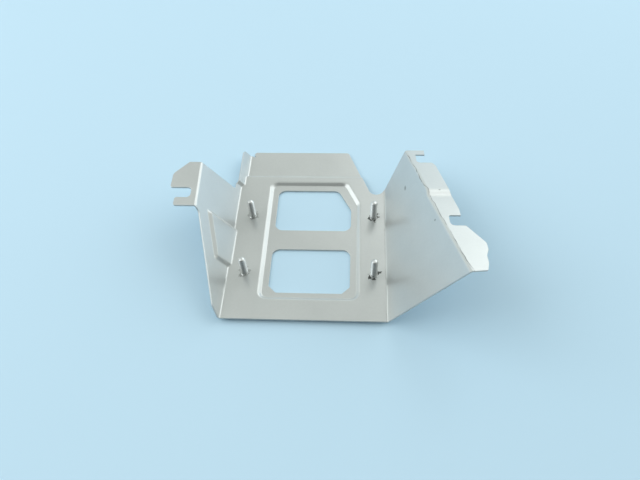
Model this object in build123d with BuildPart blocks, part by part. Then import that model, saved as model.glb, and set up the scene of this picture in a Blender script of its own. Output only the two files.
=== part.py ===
from build123d import *
from math import atan, cos, radians, sin, tan
import os

os.makedirs("parts", exist_ok=True)

# A carrier bracket folded from one steel sheet, with four press-in studs.
# Millimetres. Origin: middle of the stud rectangle, on the upper face of the
# base. +X runs towards the tall wing, +Y towards the lowered rear strip, +Z up.

# ---- sheet -------------------------------------------------------------
sheet_thickness = 1.5
inner_bend_radius = 2.0
soft_reach = 0.8            # a pressed step's kinks are drawn out this far each way
soft_turns = 3              # and made of this many short runs
wall_angle = 55.0           # both walls rise this far out of the base plane

# ---- base --------------------------------------------------------------
base_width = 135.8          # between the two bends, on the upper faces
left_bend_x = -70.0
front_y = -75.5
strip_margin = 6.5          # flat left between the recess and the rear strip
strip_length = 34.0
strip_drop = 2.0
strip_ramp = 2.0
strip_corner = 1.5
strip_corner_radius = 3.0

# ---- V notch between rear strip and wing ---------------------------------
notch_tip_inset = 9.8       # where its two straight sides would meet, from the right bend
notch_tip_y = 50.0
notch_left_slope = 0.3925   # run in X for each millimetre in Y
notch_right_slope = 0.705
notch_radius = 7.0
wing_corner_radius = 3.0    # where the notch meets the rear edge of the wing

# ---- recess and its two windows ------------------------------------------
recess_depth = 2.5
recess_wall_run = 3.0       # plan width of the sloping recess wall
recess_left_margin = 28.0   # flat left between the recess and the edges and bends
recess_right_margin = 22.8
recess_front_margin = 19.0
recess_length = 129.0
recess_cut_x = 12.0         # the rear right corner is cut off this far in X
recess_cut_y = 26.0
recess_corner_radius = 8.0
recess_edge_radius = 1.0
window_margin_x = 5.2       # floor left between the recess wall and a window
window_margin_front = 4.5
window_margin_rear = 6.0
front_window_length = 44.4
window_bridge = 21.0        # floor left between the two windows
rear_window_cut_x = 12.0
rear_window_cut_y = 23.0
window_corner_radius = 7.0
window_chamfer = 6.5
window_chamfer_radius = 2.5

# ---- left wall, sizes measured up its face from the bend -------------------
free_edge_up = 38.4         # its free edge at y = 0
free_edge_climb = 0.4225    # and the climb for each millimetre in Y
free_edge_fillet = 8.0
wall_corner_rise = 7.5      # its front corner is cut back over this length
wall_corner_up = 1.5
wall_corner_radius = 6.0
pad_front_y = -26.0         # raised stiffening pad across the left bend
pad_rear_y = 16.0
pad_ramp = 3.0
pad_height = 2.0
pad_inset = 11.1
pad_step = 3.2

# ---- low wall behind the left wall -------------------------------------------
low_wall_up = 6.2
low_wall_front_y = 58.5
low_wall_step_y = 65.5      # behind this line it stands further in
low_wall_ramp = 3.0
low_wall_inset = 2.4
low_wall_rear_inset = 5.2   # from its rear end to the end of the strip
low_wall_corner = 3.0
relief_radius = 1.0

# ---- left tab, sizes measured from the front end of its bend -------------------
tab_front_y = 10.5
tab_front_up = 47.3         # bend of the tab up the wall, front end
tab_rear_up = 50.4          # and rear end
tab_width = 24.9
tab_shoulder = 12.4
tab_shoulder_y = 34.5
tab_shoulder_radius = 6.0
tab_slot_front = 8.6
tab_slot_width = 10.7
tab_slot_end = 5.9
tab_slot_radius = 3.5
tab_finger = 19.2
finger_radius = 2.0

# ---- wing flange, sizes measured from its front corner ---------------------------
wing_front_up = 92.0        # bend of the flange up the wing, front end
flange_fall = 0.3154        # drop of the flange for each millimetre in Y
flange_rear = 166.0
flange_step_front = 93.7    # the rear part of the flange is lifted by a joggle
flange_step_run = 6.0
flange_step_height = 2.0
flange_step_reach = 2.0     # its kinks are drawn out this far
front_edge_width = 12.0
front_edge_rise = 1.5
waist_width = 14.0
waist_front = 9.5
waist_rear = 17.5
lobe_width = 16.3
lobe_front = 24.0
lobe_rear = 32.0
lobe_radius = 5.0
slot_front = 52.7
slot_width = 13.2
slot_end = -7.0
slot_lip_front = 4.5
slot_lip_rear = 2.4
slot_radius = 4.0
edge_front = 73.5
edge_rear = 139.5
edge_rear_width = -9.6
hook_front = 144.0
hook_width = 14.2
hook_end = -25.8
hook_lip_front = -12.2
hook_finger = -17.6
edge_radius = 1.5

# ---- press-in studs ----------------------------------------------------------------
stud_spacing_x = 110.0
stud_spacing_y = 62.0
stud_diameter = 6.0
stud_length = 20.0
stud_tip_chamfer = 0.8
stud_collar_diameter = 6.6  # pressed into the sheet, flush with its upper face
stud_head_diameter = 8.4
stud_head_thickness = 1.1
stud_clearance = 0.05

# ---- worked out from the sizes above ---------------------------------------------------
outer_bend_radius = inner_bend_radius + sheet_thickness
wall_x = cos(radians(wall_angle))
wall_z = sin(radians(wall_angle))
right_bend_x = left_bend_x + base_width
recess_left_x = left_bend_x + recess_left_margin
recess_right_x = right_bend_x - recess_right_margin
recess_front_y = front_y + recess_front_margin
recess_rear_y = recess_front_y + recess_length
window_left_x = recess_left_x + recess_wall_run + window_margin_x
window_right_x = recess_right_x - recess_wall_run - window_margin_x
front_window_front_y = recess_front_y + recess_wall_run + window_margin_front
front_window_rear_y = front_window_front_y + front_window_length
rear_window_front_y = front_window_rear_y + window_bridge
rear_window_rear_y = recess_rear_y - recess_wall_run - window_margin_rear
strip_front_y = recess_rear_y + strip_margin
rear_y = strip_front_y + strip_length
low_wall_rear_y = rear_y - low_wall_rear_inset
notch_tip_x = right_bend_x - notch_tip_inset
left_seam_x = (left_bend_x + recess_left_x) / 2
right_seam_x = (right_bend_x + recess_right_x) / 2
tab_bend_x = left_bend_x - tab_front_up * wall_x
flange_bend_x = right_bend_x + wing_front_up * wall_x
wing_rear_y = front_y + flange_rear
wing_rear_x = notch_tip_x + notch_right_slope * (wing_rear_y - notch_tip_y)
spare = 10.0                # how far the raw sheet reaches past the edges that are cut
beyond = 40.0               # how far a trimming cut reaches past the sheet
through = wing_front_up + 2 * beyond


def on_wall(up, height=0.0):
    """A point of a left section: up the wall, and raised off its upper face."""
    return (left_bend_x - up * wall_x + height * wall_z, up * wall_z + height * wall_x)


def wall_foot(height=0.0, base_z=0.0):
    """Where the upper face of the left wall, raised by height, meets the base."""
    return (left_bend_x + (height - base_z * wall_x) / wall_z, base_z)


def tab_part(y):
    """The tab's outer end and its bend at one station."""
    share = (y - tab_front_y) / (low_wall_front_y - tab_front_y)
    bend = on_wall(tab_front_up + share * (tab_rear_up - tab_front_up))
    return [(bend[0] - tab_width - spare, bend[1]), bend]


def pad_part(y, height):
    """The stiffening pad's outer step, the foot of the wall and the base."""
    step = free_edge_up + free_edge_climb * y - pad_inset
    return [on_wall(step), on_wall(step - pad_step, height), wall_foot(height), (left_seam_x, 0)]


def free_part(y):
    """The wall's far end, where nothing is folded from it."""
    return [on_wall(free_edge_up + free_edge_climb * y + spare)]


def low_part(height, base_z):
    """The low wall, raised by height, and the base at base_z."""
    return [on_wall(low_wall_up, height), wall_foot(height, base_z), (left_seam_x, base_z)]


def wing_part(y, lift):
    """The wing and its flange, which is lifted above its front plane."""
    flange_z = wing_front_up * wall_z - flange_fall * (y - front_y) + lift
    bend = (right_bend_x + flange_z / wall_z * wall_x, flange_z)
    return [(right_seam_x, 0), (right_bend_x, 0), bend, (bend[0] + lobe_width + spare, flange_z)]


def moved_down(points):
    """The same open line on the lower face of the sheet, one thickness away."""
    spots = [Vector(*point) for point in points]
    normals = []
    for start, end in zip(spots, spots[1:]):
        along = (end - start).normalized()
        normals.append(Vector(along.Y, -along.X))
    lower = [spots[0] + normals[0] * sheet_thickness]
    for spot, before, after in zip(spots[1:], normals, normals[1:]):
        middle = (before + after).normalized()
        lower.append(spot + middle * (sheet_thickness / middle.dot(before)))
    return lower + [spots[-1] + normals[-1] * sheet_thickness]


def sheet_section(y, points, first, last, bends):
    """Section of the sheet across X, from one point of its upper face to another."""
    lower = moved_down(points)
    with BuildSketch(Plane.XZ.offset(-y)) as section:
        with BuildLine():
            Polyline(*points[first:last + 1], *reversed(lower[first:last + 1]), close=True)
        make_face()
        for index, upper_radius in bends.items():
            if first < index < last:
                lower_radius = inner_bend_radius + outer_bend_radius - upper_radius
                for spot, radius in ((points[index], upper_radius), (lower[index], lower_radius)):
                    fillet(section.vertices().sort_by_distance(Vector(*spot))[0], radius)
    return section.sketch


def add_run(front, rear, bends, splits=()):
    """Sheet between two stations, each a y and the points of its upper face.

    Bends gives the upper radius at a point. Splits are points where the sheet
    is flat at one station and stepped at the other.
    """
    ends = [0, *splits, len(front[1]) - 1]
    for first, last in zip(ends, ends[1:]):
        loft([sheet_section(y, points, first, last, bends) for y, points in (front, rear)], ruled=True)


def between(start, end, share):
    """A station part of the way from one to another."""
    return tuple(first + (last - first) * share for first, last in zip(start, end))


def softened(stations, reach):
    """Stations of a run, each a y and its heights, with their kinks drawn into curves."""
    soft = [stations[0]]
    for before, kink, after in zip(stations, stations[1:], stations[2:]):
        start = between(kink, before, reach / (kink[0] - before[0]))
        end = between(kink, after, reach / (after[0] - kink[0]))
        for turn in range(soft_turns + 1):
            share = turn / soft_turns
            soft.append(between(between(start, kink, share), between(kink, end, share), share))
    return soft + [stations[-1]]


def recess_outline(inset, z):
    """The recess outline at one height, drawn in by inset."""
    with BuildSketch(Plane.XY.offset(z)) as outline:
        with BuildLine():
            Polyline((recess_left_x, recess_front_y), (recess_right_x, recess_front_y),
                     (recess_right_x, recess_rear_y - recess_cut_y),
                     (recess_right_x - recess_cut_x, recess_rear_y),
                     (recess_left_x, recess_rear_y), close=True)
        make_face()
        fillet(outline.vertices(), recess_corner_radius)
        offset(amount=-inset, mode=Mode.REPLACE)
    return outline.sketch


def level_face(part, z):
    """The largest flat face of a part at one height."""
    margin = sheet_thickness / 10
    level = part.faces().filter_by(Axis.Z).filter_by_position(Axis.Z, z - margin, z + margin)
    return level.sort_by(SortBy.AREA)[-1]


def on_flange(across, along):
    """A plan point of the flange, from the front corner of the wing."""
    return (flange_bend_x + across, front_y + along)


def on_tab(out, along):
    """A plan point of the tab, from the front end of its bend."""
    return (tab_bend_x - out, tab_front_y + along)


with BuildPart() as sheet:
    # left wall, pad and tab, from the front to the low wall
    pad_full_y = pad_front_y + pad_ramp
    pad_fading_y = pad_rear_y - pad_ramp
    plain_foot = [wall_foot(), (left_seam_x, 0)]
    pad_stations = softened([(front_y, 0), (pad_front_y, 0), (pad_full_y, pad_height),
                             (tab_front_y, pad_height)], soft_reach)[1:]
    pad_start_y = pad_stations[0][0]
    add_run((front_y, free_part(front_y) + plain_foot),
            (pad_start_y, free_part(pad_start_y) + plain_foot), {1: inner_bend_radius})
    for stations in zip(pad_stations, pad_stations[1:]):
        front, rear = ((y, free_part(y) + pad_part(y, height)) for y, height in stations)
        add_run(front, rear, {3: inner_bend_radius}, splits=(1, 2))
    tab_stations = softened([(tab_front_y, pad_height), (pad_fading_y, pad_height), (pad_rear_y, 0),
                             (low_wall_front_y, 0)], soft_reach)[:-1]
    for stations in zip(tab_stations, tab_stations[1:]):
        front, rear = ((y, tab_part(y) + pad_part(y, height)) for y, height in stations)
        add_run(front, rear, {1: outer_bend_radius, 4: inner_bend_radius}, splits=(2, 3))
    pad_end_y = tab_stations[-1][0]
    add_run((pad_end_y, tab_part(pad_end_y) + plain_foot),
            (low_wall_front_y, tab_part(low_wall_front_y) + plain_foot),
            {1: outer_bend_radius, 2: inner_bend_radius})

    # low wall, which steps in and then follows the base down to the rear strip
    strip_full_y = strip_front_y + strip_ramp
    low_stations = softened([(low_wall_front_y, 0, 0), (low_wall_step_y, 0, 0),
                             (low_wall_step_y + low_wall_ramp, low_wall_inset, 0),
                             (strip_front_y, low_wall_inset, 0),
                             (strip_full_y, low_wall_inset, -strip_drop),
                             (low_wall_rear_y, low_wall_inset, -strip_drop)], soft_reach)
    for stations in zip(low_stations, low_stations[1:]):
        front, rear = ((y, low_part(height, base_z)) for y, height, base_z in stations)
        add_run(front, rear, {1: inner_bend_radius})

    # base between the bends, and the rear strip
    strip_left_x = wall_foot(low_wall_inset, -strip_drop)[0] + outer_bend_radius
    base_stations = softened([(front_y, 0), (strip_front_y, 0), (strip_full_y, -strip_drop),
                              (low_wall_rear_y, -strip_drop)], soft_reach)
    base_stations.append((rear_y, -strip_drop))
    for stations in zip(base_stations, base_stations[1:]):
        left_x = strip_left_x if stations[0][0] == low_wall_rear_y else left_seam_x
        front, rear = ((y, [(left_x, z), (right_seam_x, z)]) for y, z in stations)
        add_run(front, rear, {})

    # wing with its sloping flange
    step_front_y = front_y + flange_step_front
    wing_stations = softened([(front_y, 0), (step_front_y, 0),
                              (step_front_y + flange_step_run, flange_step_height),
                              (wing_rear_y + spare, flange_step_height)], flange_step_reach)
    for stations in zip(wing_stations, wing_stations[1:]):
        front, rear = ((y, wing_part(y, lift)) for y, lift in stations)
        add_run(front, rear, {1: inner_bend_radius, 2: outer_bend_radius})

    # recess: the floor and its sloping wall, pressed down at constant thickness
    wall_growth = sheet_thickness * tan(atan(recess_depth / recess_wall_run) / 2)
    loft([recess_outline(-wall_growth, -sheet_thickness),
          recess_outline(recess_wall_run - wall_growth, -recess_depth - sheet_thickness)], ruled=True)
    loft([recess_outline(0, 0), recess_outline(recess_wall_run, -recess_depth)],
         ruled=True, mode=Mode.SUBTRACT)

    outer_edge_radius = recess_edge_radius + sheet_thickness
    fillet(level_face(sheet, 0).inner_wires()[0].edges(), outer_edge_radius)
    fillet(level_face(sheet, -recess_depth).outer_wire().edges(), recess_edge_radius)
    fillet(level_face(sheet, -sheet_thickness).inner_wires()[0].edges(), recess_edge_radius)
    fillet(level_face(sheet, -recess_depth - sheet_thickness).outer_wire().edges(), outer_edge_radius)

    # windows in the recess floor
    with BuildSketch() as windows:
        with BuildLine():
            Polyline((window_left_x, rear_window_front_y), (window_right_x, rear_window_front_y),
                     (window_right_x, rear_window_rear_y - rear_window_cut_y),
                     (window_right_x - rear_window_cut_x, rear_window_rear_y),
                     (window_left_x, rear_window_rear_y), close=True)
        make_face()
        fillet(windows.vertices(), window_corner_radius)
    with BuildSketch() as front_window:
        with BuildLine():
            Polyline((window_left_x + window_chamfer, front_window_front_y),
                     (window_right_x - window_chamfer, front_window_front_y),
                     (window_right_x, front_window_front_y + window_chamfer),
                     (window_right_x, front_window_rear_y), (window_left_x, front_window_rear_y),
                     (window_left_x, front_window_front_y + window_chamfer), close=True)
        make_face()
        fillet(front_window.vertices().group_by(Axis.Y)[-1], window_corner_radius)
        fillet(front_window.vertices().sort_by(Axis.Y)[:4], window_chamfer_radius)
    extrude(amount=beyond, both=True, mode=Mode.SUBTRACT)

    # free edge of the left wall, cut square to the wall
    wall_plane = Plane(origin=(left_bend_x, 0, 0), x_dir=(-wall_x, 0, wall_z), z_dir=(-wall_z, 0, -wall_x))
    with BuildSketch(wall_plane) as free_edge:
        corner_y = front_y + wall_corner_rise
        spots = [(wall_corner_up, front_y - beyond), (wall_corner_up, front_y),
                 (free_edge_up + free_edge_climb * corner_y, corner_y),
                 (free_edge_up + free_edge_climb * tab_front_y, tab_front_y),
                 (tab_rear_up + beyond, tab_front_y), (tab_rear_up + beyond, front_y - beyond)]
        with BuildLine():
            Polyline(*spots, close=True)
        make_face()
        for spot, radius in ((spots[2], wall_corner_radius), (spots[3], free_edge_fillet)):
            fillet(free_edge.vertices().sort_by_distance(Vector(*spot))[0], radius)
    extrude(amount=beyond, both=True, mode=Mode.SUBTRACT)

    # V notch between the rear strip and the wing, and the rear edge of the wing
    with BuildSketch(Plane.XY.offset(-beyond)) as notch:
        with BuildLine():
            reach = rear_y + beyond - notch_tip_y
            Polyline((notch_tip_x, notch_tip_y), (wing_rear_x, wing_rear_y),
                     (wing_rear_x + through, wing_rear_y), (wing_rear_x + through, rear_y + beyond),
                     (notch_tip_x - notch_left_slope * reach, rear_y + beyond), close=True)
        make_face()
        fillet(notch.vertices().sort_by_distance(Vector(wing_rear_x, wing_rear_y))[0], wing_corner_radius)
        fillet(notch.vertices().sort_by(Axis.Y)[0], notch_radius)
    extrude(amount=through, mode=Mode.SUBTRACT)

    # outer edge of the flange, with its slot and its hook
    with BuildSketch(Plane.XY.offset(-beyond)) as flange_outline:
        with BuildLine():
            Polyline(on_flange(0, -beyond), on_flange(0, 0), on_flange(front_edge_width, front_edge_rise),
                     on_flange(waist_width, waist_front), on_flange(waist_width, waist_rear),
                     on_flange(lobe_width, lobe_front), on_flange(lobe_width, lobe_rear),
                     on_flange(slot_lip_front, slot_front), on_flange(slot_end, slot_front),
                     on_flange(slot_end, slot_front + slot_width),
                     on_flange(slot_lip_rear, slot_front + slot_width),
                     on_flange(slot_lip_rear, edge_front), on_flange(edge_rear_width, edge_rear),
                     on_flange(hook_lip_front, hook_front), on_flange(hook_end, hook_front),
                     on_flange(hook_end, hook_front + hook_width),
                     on_flange(hook_finger, hook_front + hook_width),
                     on_flange(hook_finger, flange_rear + beyond),
                     on_flange(lobe_width + beyond, flange_rear + beyond),
                     on_flange(lobe_width + beyond, -beyond), close=True)
        make_face()
        for spot, radius in (((lobe_width, lobe_front), lobe_radius), ((lobe_width, lobe_rear), lobe_radius),
                             ((waist_width, waist_rear), edge_radius), ((waist_width, waist_front), edge_radius),
                             ((front_edge_width, front_edge_rise), edge_radius),
                             ((slot_lip_front, slot_front), edge_radius), ((slot_end, slot_front), slot_radius),
                             ((slot_end, slot_front + slot_width), edge_radius),
                             ((slot_lip_rear, edge_front), edge_radius),
                             ((edge_rear_width, edge_rear), edge_radius),
                             ((hook_lip_front, hook_front), edge_radius), ((hook_end, hook_front), slot_radius)):
            spot = Vector(*on_flange(*spot))
            fillet(flange_outline.vertices().sort_by_distance(spot)[0], radius)
    extrude(amount=through, mode=Mode.SUBTRACT)

    # outer edge of the tab, with its slot
    with BuildSketch() as tab_outline:
        slot_rear = tab_slot_front + tab_slot_width
        tab_rear = low_wall_front_y - tab_front_y
        with BuildLine():
            Polyline(on_tab(0, -beyond), on_tab(0, 0), on_tab(tab_finger, 0),
                     on_tab(tab_finger, tab_slot_front), on_tab(tab_slot_end, tab_slot_front),
                     on_tab(tab_slot_end, slot_rear), on_tab(tab_width, slot_rear),
                     on_tab(tab_width, tab_shoulder_y), on_tab(tab_shoulder, tab_rear),
                     on_tab(tab_shoulder, tab_rear + beyond),
                     on_tab(tab_width + beyond, tab_rear + beyond), on_tab(tab_width + beyond, -beyond),
                     close=True)
        make_face()
        for spot, radius in (((tab_finger, 0), finger_radius), ((tab_finger, tab_slot_front), finger_radius),
                             ((tab_slot_end, tab_slot_front), tab_slot_radius),
                             ((tab_slot_end, slot_rear), tab_slot_radius),
                             ((tab_width, slot_rear), finger_radius),
                             ((tab_width, tab_shoulder_y), tab_shoulder_radius)):
            spot = Vector(*on_tab(*spot))
            fillet(tab_outline.vertices().sort_by_distance(spot)[0], radius)
    extrude(amount=through, mode=Mode.SUBTRACT)

    # rounded corners of the walls and of the rear strip
    strip_rear_x = notch_tip_x - notch_left_slope * (rear_y - notch_tip_y)
    half = sheet_thickness / 2
    rounded = [(on_wall(low_wall_up, low_wall_inset - half), low_wall_rear_y, low_wall_corner),
               (on_wall(low_wall_up, -half), low_wall_front_y, low_wall_corner),
               ((strip_rear_x, -strip_drop - half), rear_y, strip_corner_radius)]
    for (x, z), y, radius in rounded:
        fillet(sheet.edges().sort_by_distance(Vector(x, y, z))[0], radius)
    strip_corner_spot = Vector(strip_left_x, rear_y, -strip_drop - half)
    chamfer(sheet.edges().sort_by_distance(strip_corner_spot)[0], strip_corner)
    with BuildSketch(Plane.XY.offset(-beyond)):
        with Locations((strip_left_x, low_wall_rear_y)):
            Circle(relief_radius)
    extrude(amount=beyond, mode=Mode.SUBTRACT)

    # seats of the studs: a hole for the collar and a pocket below for the head
    stud_grid = GridLocations(stud_spacing_x, stud_spacing_y, 2, 2)
    for radius, bottom, top in (
            (stud_collar_diameter / 2, -sheet_thickness, 0),
            (stud_head_diameter / 2, -sheet_thickness, stud_head_thickness - sheet_thickness)):
        with BuildSketch(Plane.XY.offset(bottom)):
            with stud_grid:
                Circle(radius + stud_clearance)
        extrude(amount=top - bottom, mode=Mode.SUBTRACT)


sheet.part.label = "bracket_sheet"
export_step(sheet.part, "parts/bracket_sheet.step")

# studs: a flush head, a collar in the sheet's hole and a shank with a chamfered tip
for count, place in enumerate(stud_grid.locations):
    with BuildPart(Plane(place).offset(-sheet_thickness)) as stud:
        for diameter, length in ((stud_head_diameter, stud_head_thickness),
                                 (stud_collar_diameter, sheet_thickness),
                                 (stud_diameter, sheet_thickness + stud_length)):
            Cylinder(diameter / 2, length, align=(Align.CENTER, Align.CENTER, Align.MIN))
        chamfer(stud.edges().group_by(Axis.Z)[-1], stud_tip_chamfer)
    name = f"stud_{count + 1}"
    stud.part.label = name
    export_step(stud.part, f"parts/{name}.step")
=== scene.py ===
import math

import bmesh
import bpy
from mathutils import Matrix, Vector


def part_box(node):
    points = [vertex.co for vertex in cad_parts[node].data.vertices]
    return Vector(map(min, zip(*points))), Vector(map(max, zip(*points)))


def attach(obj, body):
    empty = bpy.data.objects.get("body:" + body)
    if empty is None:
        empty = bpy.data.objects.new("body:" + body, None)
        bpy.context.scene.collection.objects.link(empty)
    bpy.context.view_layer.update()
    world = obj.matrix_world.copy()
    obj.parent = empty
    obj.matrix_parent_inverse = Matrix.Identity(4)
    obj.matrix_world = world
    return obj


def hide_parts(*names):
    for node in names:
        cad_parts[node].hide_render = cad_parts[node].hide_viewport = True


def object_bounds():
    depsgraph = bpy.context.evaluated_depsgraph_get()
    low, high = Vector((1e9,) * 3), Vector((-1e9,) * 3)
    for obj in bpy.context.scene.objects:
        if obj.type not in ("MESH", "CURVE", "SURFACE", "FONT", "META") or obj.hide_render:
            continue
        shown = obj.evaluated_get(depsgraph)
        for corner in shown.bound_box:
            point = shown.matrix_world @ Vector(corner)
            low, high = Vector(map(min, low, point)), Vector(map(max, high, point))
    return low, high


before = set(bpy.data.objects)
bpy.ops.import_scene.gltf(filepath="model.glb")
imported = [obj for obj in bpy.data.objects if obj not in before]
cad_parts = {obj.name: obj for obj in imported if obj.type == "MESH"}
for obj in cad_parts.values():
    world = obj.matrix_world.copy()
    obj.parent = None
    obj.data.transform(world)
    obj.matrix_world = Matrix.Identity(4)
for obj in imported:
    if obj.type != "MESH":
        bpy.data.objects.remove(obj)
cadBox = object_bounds()
print("bracket loaded, CAD box", [tuple(round(v, 4) for v in corner) for corner in cadBox])


def addNode(tree, kind, x, y, **settings):
    node = tree.nodes.new(kind)
    node.location = (x, y)
    for name, value in settings.items():
        setattr(node, name, value)
    return node


def plug(tree, source, target):
    tree.links.new(source, target)


def setOrPlug(tree, value, socket):
    # a socket takes a number, a colour or the output of another node
    if isinstance(value, (int, float)):
        socket.default_value = value
    elif isinstance(value, tuple):
        socket.default_value = (*value, 1) if socket.type == "RGBA" else value
    else:
        plug(tree, value, socket)


def mathNode(tree, operation, values, x, y):
    node = addNode(tree, "ShaderNodeMath", x, y, operation=operation)
    for socket, value in zip(node.inputs, values):
        setOrPlug(tree, value, socket)
    return node.outputs[0]


def vectorNode(tree, operation, values, x, y):
    node = addNode(tree, "ShaderNodeVectorMath", x, y, operation=operation)
    for socket, value in zip(node.inputs, values):
        setOrPlug(tree, value, socket)
    return node.outputs["Value" if operation in ("LENGTH", "DOT_PRODUCT") else "Vector"]


def noiseNode(tree, vector, scale, detail, roughness, x, y):
    node = addNode(tree, "ShaderNodeTexNoise", x, y)
    node.inputs["Scale"].default_value = scale
    node.inputs["Detail"].default_value = detail
    node.inputs["Roughness"].default_value = roughness
    plug(tree, vector, node.inputs["Vector"])
    return node.outputs["Fac"]


def spread(tree, value, low, high, toLow, toHigh, x, y, smooth=False):
    node = addNode(tree, "ShaderNodeMapRange", x, y)
    if smooth:
        node.interpolation_type = "SMOOTHSTEP"
    limits = {"From Min": low, "From Max": high, "To Min": toLow, "To Max": toHigh}
    for name, number in limits.items():
        node.inputs[name].default_value = number
    plug(tree, value, node.inputs["Value"])
    return node.outputs["Result"]


def mixColour(tree, amount, first, second, x, y, blend="MIX"):
    node = addNode(tree, "ShaderNodeMix", x, y, data_type="RGBA", blend_type=blend)
    for name, value in (("Factor", amount), ("A", first), ("B", second)):
        # the colour mixer has several sockets with each of these names
        socket = next(s for s in node.inputs if s.name == name and s.enabled)
        setOrPlug(tree, value, socket)
    return next(s for s in node.outputs if s.enabled)


def newMaterial(name):
    material = bpy.data.materials.new(name)
    material.use_nodes = True
    return material, material.node_tree, material.node_tree.nodes["Principled BSDF"]


sheet = {
    "colour": (0.625, 0.637, 0.625),
    "dullColour": (0.575, 0.587, 0.577),    # where the plating has clouded
    "cloudScale": 14,
    "speckle": 0.015,                       # share by which the fine grain changes the brightness
    "speckleScale": 420,
    "metallic": 0.6,
    "roughness": 0.28,
    "roughnessSpread": 0.06,
    "rollingScale": (60, 1200, 1200),       # long along X, the way the sheet was rolled
    "rollingRoughness": 0.01,
    "waviness": 0.00035,                    # how far the rolled sheet is out of flat, in metres
    "wavinessScale": 9,
    "edgeRadius": 0.0005,                   # how far cut edges and sharp kinks are worn round
    "studSpacing": (0.110, 0.062),
    "markAndPaintedShadeColour": (0.10, 0.105, 0.10),      # dark colour of the stud foot rings and nicks, and of the painted shade along the bends
    "markReach": (0.0041, 0.0050),          # from full to nothing, from the middle of a stud
    "markRaggedness": 0.0062,
    "markScale": 300,
    "markRoughness": 0.3,                   # how much duller a full mark is
    "leftMarks": 0.4,                       # strength on the left, against 1 on the right
    # small dark nicks on the wing and its flange: middle and half size, in metres
    "nicks": (((0.0823, 0.0455, 0.0235), (0.0012, 0.0034, 0.0016)),
              ((0.1013, -0.0115, 0.0507), (0.0011, 0.0013, 0.0011)),
              ((0.1081, 0.0246, 0.0458), (0.0012, 0.0010, 0.0012))),
    "nickStrength": 0.6,
    # painted shade: dark lines along the bends, where a bend begins: direction across it, place in that
    # direction, half width, wander, a second direction, the least place in that direction where it shows,
    # strength
    "creaseShade": (((1, 0.2208, 0), 0.1038, 0.0005, 0.0016, (0, 0.3154, 1), 0.0505, 0.8),
                ((1, 0, 0), 0.0647, 0.0005, 0.0003, (0, 0, -1), -0.0006, 0.25)),
    "creaseScale": 60,
    "creasePatchScale": 130,                # size of the breaks along a crease, smaller when higher
}


# dark ragged rings round the foot of each stud, weaker on the left
def studMarks(tree, place, look, x, y):
    # the four studs stand in a rectangle about the origin, so one mark serves all
    axes = addNode(tree, "ShaderNodeSeparateXYZ", x, y)
    plug(tree, place, axes.inputs[0])
    squares = []
    for axis, size, lower in zip("XY", look["studSpacing"], (y, y - 180)):
        distance = mathNode(tree, "ABSOLUTE", (axes.outputs[axis],), x + 180, lower)
        offset = mathNode(tree, "SUBTRACT", (distance, size / 2), x + 360, lower)
        squares.append(mathNode(tree, "POWER", (offset, 2), x + 540, lower))
    radius = mathNode(tree, "SQRT", (mathNode(tree, "ADD", squares, x + 720, y),), x + 900, y)

    ragged = noiseNode(tree, place, look["markScale"], 2, 0.5, x + 540, y - 400)
    sway = look["markRaggedness"] / 2
    ragged = spread(tree, ragged, 0.25, 0.75, -sway, sway, x + 720, y - 400)
    radius = mathNode(tree, "ADD", (radius, ragged), x + 1080, y)
    mark = spread(tree, radius, *look["markReach"], 1, 0, x + 1260, y, smooth=True)

    # only on the upper face of the base and above it
    onTop = mathNode(tree, "GREATER_THAN", (axes.outputs["Z"], -0.0002), x + 1260, y - 200)
    uneven = spread(tree, axes.outputs["X"], -0.02, 0.02, look["leftMarks"], 1, x + 540, y - 700)
    mark = mathNode(tree, "MULTIPLY", (mark, onTop), x + 1440, y)
    return mathNode(tree, "MULTIPLY", (mark, uneven), x + 1620, y)


def nickMarks(tree, place, look, x, y):
    total = 0
    for index, (middle, size) in enumerate(look["nicks"]):
        lower = y - 200 * index
        offset = vectorNode(tree, "SUBTRACT", (place, middle), x, lower)
        scaled = vectorNode(tree, "DIVIDE", (offset, size), x + 180, lower)
        reach = vectorNode(tree, "LENGTH", (scaled,), x + 360, lower)
        nick = spread(tree, reach, 0.4, 1, look["nickStrength"], 0, x + 540, lower)
        total = mathNode(tree, "ADD", (total, nick), x + 720, lower)
    return total


# painted shade: dark lines along the bend lines, broken into patches
def paintedCreaseShade(tree, place, look, x, y):
    wander = noiseNode(tree, place, look["creaseScale"], 2, 0.5, x, y + 200)
    patchy = noiseNode(tree, place, look["creasePatchScale"], 2, 0.6, x, y + 500)
    patchy = spread(tree, patchy, 0.4, 0.6, 0.2, 1, x + 180, y + 500)
    total = 0
    for index, (across, at, width, sway, height, least, strength) in enumerate(look["creaseShade"]):
        lower = y - 400 * index
        offset = vectorNode(tree, "DOT_PRODUCT", (place, across), x, lower)
        shift = spread(tree, wander, 0.3, 0.7, -at - sway / 2, sway / 2 - at, x + 180, lower - 150)
        offset = mathNode(tree, "ADD", (offset, shift), x + 360, lower)
        offset = mathNode(tree, "ABSOLUTE", (offset,), x + 540, lower)
        line = spread(tree, offset, 0, width, strength, 0, x + 720, lower, smooth=True)
        level = vectorNode(tree, "DOT_PRODUCT", (place, height), x, lower - 300)
        side = mathNode(tree, "GREATER_THAN", (level, least), x + 720, lower - 200)
        line = mathNode(tree, "MULTIPLY", (line, side), x + 900, lower)
        total = mathNode(tree, "ADD", (total, line), x + 1080, lower)
    return mathNode(tree, "MULTIPLY", (total, patchy), x + 1260, y)


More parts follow.
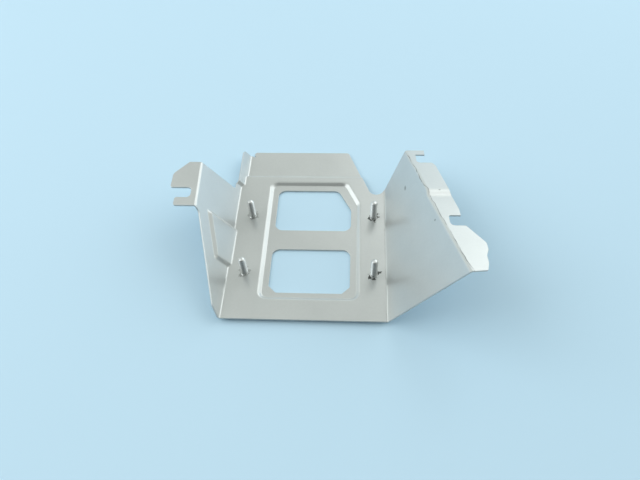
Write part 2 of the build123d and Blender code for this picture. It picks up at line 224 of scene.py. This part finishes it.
def zincSheet(name, look):
    material, tree, shader = newMaterial(name)
    place = addNode(tree, "ShaderNodeTexCoord", -1800, 0).outputs["Object"]

    cloud = noiseNode(tree, place, look["cloudScale"], 3, 0.55, -1500, 500)
    fine = noiseNode(tree, place, look["speckleScale"], 4, 0.6, -1500, 200)
    rolled = addNode(tree, "ShaderNodeMapping", -1700, -200)
    rolled.inputs["Scale"].default_value = look["rollingScale"]
    plug(tree, place, rolled.inputs["Vector"])
    grain = noiseNode(tree, rolled.outputs["Vector"], 1, 3, 0.6, -1500, -100)

    dull = spread(tree, cloud, 0.35, 0.7, 0, 1, -1200, 500)
    colour = mixColour(tree, dull, look["colour"], look["dullColour"], -900, 500)
    speckle = spread(tree, fine, 0.3, 0.7, 1 - look["speckle"], 1 + look["speckle"], -1200, 200)
    colour = mixColour(tree, 1.0, colour, speckle, -600, 400, "MULTIPLY")
    studFootMarks = studMarks(tree, place, look, -3600, 1200)
    nicks = nickMarks(tree, place, look, -3600, 2200)
    creaseShade = paintedCreaseShade(tree, place, look, -3600, 3600)
    # the stud foot rings and nicks, then the painted shade along the bends, all mixed into the colour and
    # roughness
    marksAndPaintedShade = mathNode(tree, "MAXIMUM", (studFootMarks, nicks), -1100, 900)
    marksAndPaintedShade = mathNode(tree, "MAXIMUM", (marksAndPaintedShade, creaseShade), -900, 900)
    colour = mixColour(tree, marksAndPaintedShade, colour, look["markAndPaintedShadeColour"], -400, 500)
    plug(tree, colour, shader.inputs["Base Color"])
    shader.inputs["Metallic"].default_value = look["metallic"]

    rough = mathNode(tree, "MULTIPLY_ADD", (cloud, look["roughnessSpread"], look["roughness"]), -900, 0)
    sway = look["rollingRoughness"]
    rolling = spread(tree, grain, 0.3, 0.7, -sway, sway, -1200, -100)
    rough = mathNode(tree, "ADD", (rough, rolling), -600, 0)
    rough = mathNode(tree, "MULTIPLY_ADD", (marksAndPaintedShade, look["markRoughness"], rough), -400, 0)
    plug(tree, rough, shader.inputs["Roughness"])

    wave = noiseNode(tree, place, look["wavinessScale"], 1, 0.5, -1500, -500)
    bump = addNode(tree, "ShaderNodeBump", -600, -500)
    bump.inputs["Strength"].default_value = 1
    bump.inputs["Distance"].default_value = look["waviness"]
    plug(tree, wave, bump.inputs["Height"])
    worn = addNode(tree, "ShaderNodeBevel", -900, -700, samples=6)
    worn.inputs["Radius"].default_value = look["edgeRadius"]
    plug(tree, worn.outputs["Normal"], bump.inputs["Normal"])
    plug(tree, bump.outputs["Normal"], shader.inputs["Normal"])
    return material


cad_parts["bracket_sheet"].data.materials[0] = zincSheet("zincSheet", sheet)
print("sheet finished")


stud = {
    "outerRadius": 0.003,
    "rootRadius": 0.0026,
    "pitch": 0.001,
    "plainLength": 0.0015,                  # unthreaded run above the sheet
    "tipLength": 0.0012,
    "tipRadius": 0.0019,
    "headThickness": 0.0011,
    "collarRadius": 0.0033,
    "stepsRound": 32,
    "ringsPerTurn": 8,
    "sharpAngle": 50,                       # degrees between faces that keep a hard edge
    "colour": (0.80, 0.81, 0.80),
    "wornShare": 0.85,                      # brightness of the mottled patches
    "mottleScale": 700,
    "grooveColour": (0.56, 0.57, 0.56),     # darker colour in the roots of the thread, by their depth
    "roughness": 0.2,
    "roughnessSpread": 0.12,
    "grooveRoughness": 0.3,
}


def zincStud(name, look):
    material, tree, shader = newMaterial(name)
    place = addNode(tree, "ShaderNodeTexCoord", -1200, 0).outputs["Object"]
    fine = noiseNode(tree, place, look["mottleScale"], 3, 0.6, -900, 100)
    worn = tuple(look["wornShare"] * part for part in look["colour"])
    mottle = spread(tree, fine, 0.35, 0.65, 0, 1, -700, 100)
    colour = mixColour(tree, mottle, look["colour"], worn, -500, 100)
    # darker and rougher in the roots of the thread, by their depth
    groove = addNode(tree, "ShaderNodeAttribute", -900, 400, attribute_name="groove").outputs["Fac"]
    colour = mixColour(tree, groove, colour, look["grooveColour"], -300, 100)
    plug(tree, colour, shader.inputs["Base Color"])

    least = look["roughness"]
    rough = spread(tree, fine, 0.3, 0.7, least, least + look["roughnessSpread"], -700, -200)
    rough = mathNode(tree, "MULTIPLY_ADD", (groove, look["grooveRoughness"], rough), -400, -200)
    plug(tree, rough, shader.inputs["Roughness"])
    shader.inputs["Metallic"].default_value = 1
    return material


def threadDepth(height, angle, look):
    # from 0 on a crest to 1 in the root, fading out towards the sheet
    turn = height / look["pitch"] - angle / math.tau
    fade = min(1, max(0, (height - look["plainLength"]) / look["pitch"]))
    return fade * (1 - math.cos(math.tau * turn)) / 2


def studRings(low, high, look):
    # heights with a fixed radius for the head and the collar, then none for the threaded shank
    headRadius = (high.x - low.x) / 2
    headTop = low.z + look["headThickness"]
    rings = [(low.z, headRadius), (headTop, headRadius),
             (headTop, look["collarRadius"]), (0, look["collarRadius"]), (0, None)]
    count = round(high.z / look["pitch"] * look["ringsPerTurn"])
    return rings + [(high.z * (index + 1) / count, None) for index in range(count)]


def shankRadius(height, tip, depth, look):
    cone = look["tipRadius"] + (look["outerRadius"] - look["tipRadius"]) * (tip - height) / look["tipLength"]
    threaded = look["outerRadius"] - (look["outerRadius"] - look["rootRadius"]) * depth
    return min(cone, threaded)


def addStud(name, nodeName, look, material):
    low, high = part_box(nodeName)
    centre = (low + high) / 2
    shape = bmesh.new()
    grooveLayer = shape.verts.layers.float.new("groove")
    loops = []
    for height, fixedRadius in studRings(low, high, look):
        loop = []
        for step in range(look["stepsRound"]):
            angle = math.tau * step / look["stepsRound"]
            depth = 0 if fixedRadius else threadDepth(height, angle, look)
            radius = fixedRadius or shankRadius(height, high.z, depth, look)
            around = (centre.x + radius * math.cos(angle), centre.y + radius * math.sin(angle), height)
            point = shape.verts.new(around)
            point[grooveLayer] = depth
            loop.append(point)
        loops.append(loop)
    for lower, upper in zip(loops, loops[1:]):
        for step in range(look["stepsRound"]):
            after = (step + 1) % look["stepsRound"]
            shape.faces.new((lower[step], lower[after], upper[after], upper[step]))
    shape.faces.new(reversed(loops[0]))
    shape.faces.new(loops[-1])
    shape.normal_update()
    mesh = bpy.data.meshes.new(name)
    shape.to_mesh(mesh)
    shape.free()

    piece = bpy.data.objects.new(name, mesh)
    bpy.context.scene.collection.objects.link(piece)
    mesh.materials.append(material)
    for face in mesh.polygons:
        face.use_smooth = len(face.vertices) == 4
    mesh.set_sharp_from_angle(angle=math.radians(look["sharpAngle"]))
    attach(piece, "root")
    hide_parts(nodeName)


studMaterial = zincStud("zincStud", stud)
for number in range(1, 5):
    addStud(f"threaded_stud_{number}", f"stud_{number}", stud, studMaterial)
print("studs finished")


studio = {
    "floorColour": (0.58, 0.77, 0.91),
    "floorRoughness": 0.9,
    "floorReach": 4,                        # half its width, in metres
    "skyColour": (0.93, 1.0, 0.96),
    "horizonColour": (0.55, 0.82, 1.05),
    "horizonHeight": 0.3,                   # sine of the elevation where the horizon colour has gone
    # brightness of the room by height over the horizon, as (sine of the elevation, brightness)
    "skyBands": ((0, 1.05), (0.35, 1.02), (0.55, 0.8), (0.72, 0.7), (1, 0.7)),
    "frontShade": 0.15,                     # how bright the room is behind the camera
    "frontShadeReach": (-0.7, -0.25),       # and where that shade starts and ends, along Y
    "lampColour": (0.93, 0.98, 1.0),
    # name, azimuth right of straight behind, elevation, distance, width, height, power
    "lamps": (("rightPanel", 47, 30, 1.8, 2.3, 1.45, 12.4),
              ("rearPanel", 22, 48, 1.8, 0.45, 0.45, 0.85),
              ("leftPanel", -86, 40, 1.8, 1.6, 1.5, 12.5)),
    "cameraAt": (0.0383, -0.2986, 0.4147),
    "cameraRight": (0.9981, 0.047, -0.0391),
    "cameraUp": (-0.0149, 0.8069, 0.5905),
    "cameraBack": (0.0593, -0.5888, 0.8061),
    "lens": 32.75,
    "sensorWidth": 36,
}


def addFloor(look):
    reach, height = look["floorReach"], cadBox[0].z
    mesh = bpy.data.meshes.new("floor")
    corners = [(x * reach, y * reach, height) for x, y in ((-1, -1), (1, -1), (1, 1), (-1, 1))]
    mesh.from_pydata(corners, [], [(0, 1, 2, 3)])
    floor = bpy.data.objects.new("floor", mesh)
    bpy.context.scene.collection.objects.link(floor)
    material, tree, shader = newMaterial("paleFloor")
    shader.inputs["Base Color"].default_value = (*look["floorColour"], 1)
    shader.inputs["Roughness"].default_value = look["floorRoughness"]
    shader.inputs["Specular IOR Level"].default_value = 0.1
    mesh.materials.append(material)


def addRoom(look):
    world = bpy.data.worlds.new("studio")
    bpy.context.scene.world = world
    world.use_nodes = True
    tree = world.node_tree
    background = tree.nodes["Background"]
    parts = addNode(tree, "ShaderNodeSeparateXYZ", -1000, 0)
    plug(tree, addNode(tree, "ShaderNodeTexCoord", -1200, 0).outputs["Generated"], parts.inputs[0])
    bands = addNode(tree, "ShaderNodeValToRGB", -800, 200)
    for index, (height, brightness) in enumerate(look["skyBands"]):
        stop = bands.color_ramp.elements[index] if index < 2 else bands.color_ramp.elements.new(height)
        stop.position = height
        stop.color = (brightness, brightness, brightness, 1)
    plug(tree, parts.outputs["Z"], bands.inputs["Fac"])
    shade = spread(tree, parts.outputs["Y"], *look["frontShadeReach"], look["frontShade"], 1, -800, -200)
    strength = mathNode(tree, "MULTIPLY", (bands.outputs["Color"], shade), -400, 0)
    plug(tree, strength, background.inputs["Strength"])
    low = spread(tree, parts.outputs["Z"], 0, look["horizonHeight"], 0, 1, -800, -500)
    colour = mixColour(tree, low, look["horizonColour"], look["skyColour"], -400, -300)
    plug(tree, colour, background.inputs["Color"])


def addLamps(look):
    for name, azimuth, elevation, distance, width, height, power in look["lamps"]:
        lamp = bpy.data.lights.new(name, "AREA")
        lamp.shape = "RECTANGLE"
        lamp.size, lamp.size_y, lamp.energy = width, height, power
        lamp.color = look["lampColour"]
        side, lift = math.radians(azimuth), math.radians(elevation)
        towards = Vector((math.sin(side) * math.cos(lift), math.cos(side) * math.cos(lift), math.sin(lift)))
        lampObject = bpy.data.objects.new(name, lamp)
        lampObject.location = towards * distance
        lampObject.rotation_euler = towards.to_track_quat("Z", "Y").to_euler()
        bpy.context.scene.collection.objects.link(lampObject)


def addCamera(look):
    data = bpy.data.cameras.new("camera")
    data.lens = look["lens"]
    data.sensor_width = look["sensorWidth"]
    camera = bpy.data.objects.new("camera", data)
    columns = [Vector(look[key]) for key in ("cameraRight", "cameraUp", "cameraBack")]
    camera.matrix_world = Matrix.Translation(look["cameraAt"]) @ Matrix(columns).transposed().to_4x4()
    bpy.context.scene.collection.objects.link(camera)
    bpy.context.scene.camera = camera


addFloor(studio)
addRoom(studio)
addLamps(studio)
addCamera(studio)
bpy.context.scene.view_settings.view_transform = "Standard"
print("studio ready")
